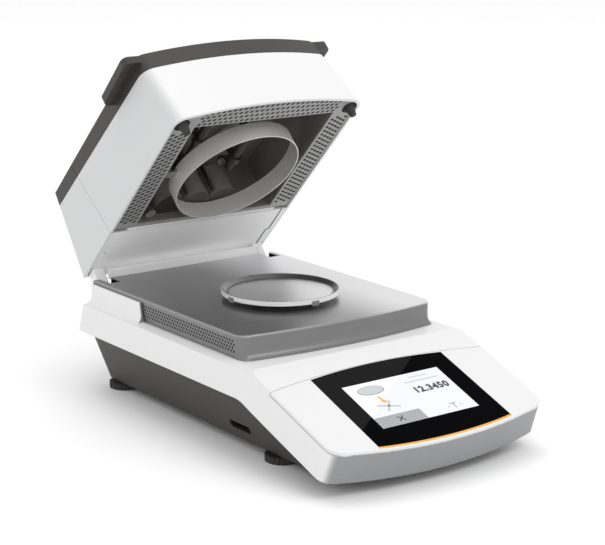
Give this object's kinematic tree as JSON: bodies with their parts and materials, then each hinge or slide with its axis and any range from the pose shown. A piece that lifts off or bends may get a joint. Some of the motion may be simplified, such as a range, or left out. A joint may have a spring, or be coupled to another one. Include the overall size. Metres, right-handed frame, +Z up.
{
  "type": "moisture analyzer",
  "caption": "Laboratory moisture analyzer: a balance base with a sloping display, a sample pan on a lifting support and a hinged heating hood with a guard ring",
  "frame": {"origin": "on the table, under the centre of the part's box at rest with the hood open", "axes": "+Z up, -Y towards the operator and the display, +X to the operator's right"},
  "size_m": [0.2156, 0.441, 0.3068],
  "materials": {
    "white_plastic": "satin",
    "dark_plastic": "fine grain",
    "panel_plastic": "satin",
    "black_glass": "gloss",
    "screen": "gloss",
    "accent": "satin",
    "steel_sheet": "satin brushed",
    "chamber_steel": "matt annealed",
    "frame_sheet": "matt",
    "hood_liner": "satin",
    "pan_aluminium": "pressed",
    "cast_alloy": "machined",
    "rubber": "matt",
    "zinc_steel": "bright zinc",
    "quartz": "frosted",
    "circuit_board": "lacquered",
    "black_socket": "moulded",
    "brass": "plain"
  },
  "bodies": {
    "base": {"lower_tub": "dark_plastic", "upper_housing": "white_plastic", "display_panel": "panel_plastic", "display_glass": "black_glass", "lcd_screen": "screen", "accent_strip": "accent", "display_board": "circuit_board", "chamber_plate": "steel_sheet", "heat_tray": "chamber_steel", "cell_mount": "cast_alloy", "load_cell": "cast_alloy", "load_post": "zinc_steel", "main_board": "circuit_board", "power_supply": "circuit_board", "mains_inlet": "black_socket", "inlet_blades": "brass", "data_port": "black_socket", "hinge_bracket_left": "zinc_steel", "hinge_bracket_right": "zinc_steel", "hinge_pin_left": "zinc_steel", "hinge_pin_right": "zinc_steel"},
    "hood": {"hood_front_shell": "white_plastic", "hood_rear_shell": "white_plastic", "hood_top_cover": "dark_plastic", "hood_rear_cover": "dark_plastic", "underside_frame": "frame_sheet", "reflector_box": "chamber_steel", "guard_ring": "steel_sheet", "ring_brackets": "chamber_steel", "lead_cover": "chamber_steel", "infrared_heater": "quartz", "heater_clips": "zinc_steel", "heater_straps": "zinc_steel", "temperature_sensor": "zinc_steel", "inner_rear_panel": "hood_liner", "bumper_left": "rubber", "bumper_right": "rubber", "hinge_arm_left": "cast_alloy", "hinge_arm_right": "cast_alloy", "arm_screws": "zinc_steel"},
    "pan_support": {"pan_support": "steel_sheet"},
    "sample_pan": {"sample_pan": "pan_aluminium"},
    "foot_rear_left": {"foot_disc_rear_left": "rubber", "foot_stud_rear_left": "zinc_steel"},
    "foot_rear_right": {"foot_disc_rear_right": "rubber", "foot_stud_rear_right": "zinc_steel"},
    "foot_front_left": {"foot_disc_front_left": "rubber", "foot_stud_front_left": "zinc_steel"},
    "foot_front_right": {"foot_disc_front_right": "rubber", "foot_stud_front_right": "zinc_steel"}
  },
  "joints": [
    {"name": "hood_hinge", "type": "hinge", "parent": "base", "child": "hood", "pos_m": [0, 0.1437, 0.0694], "axis": [1, 0, 0], "range_deg": [0, 45.4]},
    {"name": "pan_support_lift", "type": "slide", "parent": "base", "child": "pan_support", "axis": [0, 0, -1], "range_m": [-0.025, 0]},
    {"name": "sample_pan_lift", "type": "slide", "parent": "pan_support", "child": "sample_pan", "axis": [0, 0, -1], "range_m": [-0.06, 0]},
    {"name": "foot_rear_left_screw", "type": "slide", "parent": "base", "child": "foot_rear_left", "axis": [0, 0, -1], "range_m": [0, 0.005]},
    {"name": "foot_rear_right_screw", "type": "slide", "parent": "base", "child": "foot_rear_right", "axis": [0, 0, -1], "range_m": [0, 0.005]},
    {"name": "foot_front_left_screw", "type": "slide", "parent": "base", "child": "foot_front_left", "axis": [0, 0, -1], "range_m": [0, 0.005]},
    {"name": "foot_front_right_screw", "type": "slide", "parent": "base", "child": "foot_front_right", "axis": [0, 0, -1], "range_m": [0, 0.005]}
  ]
}
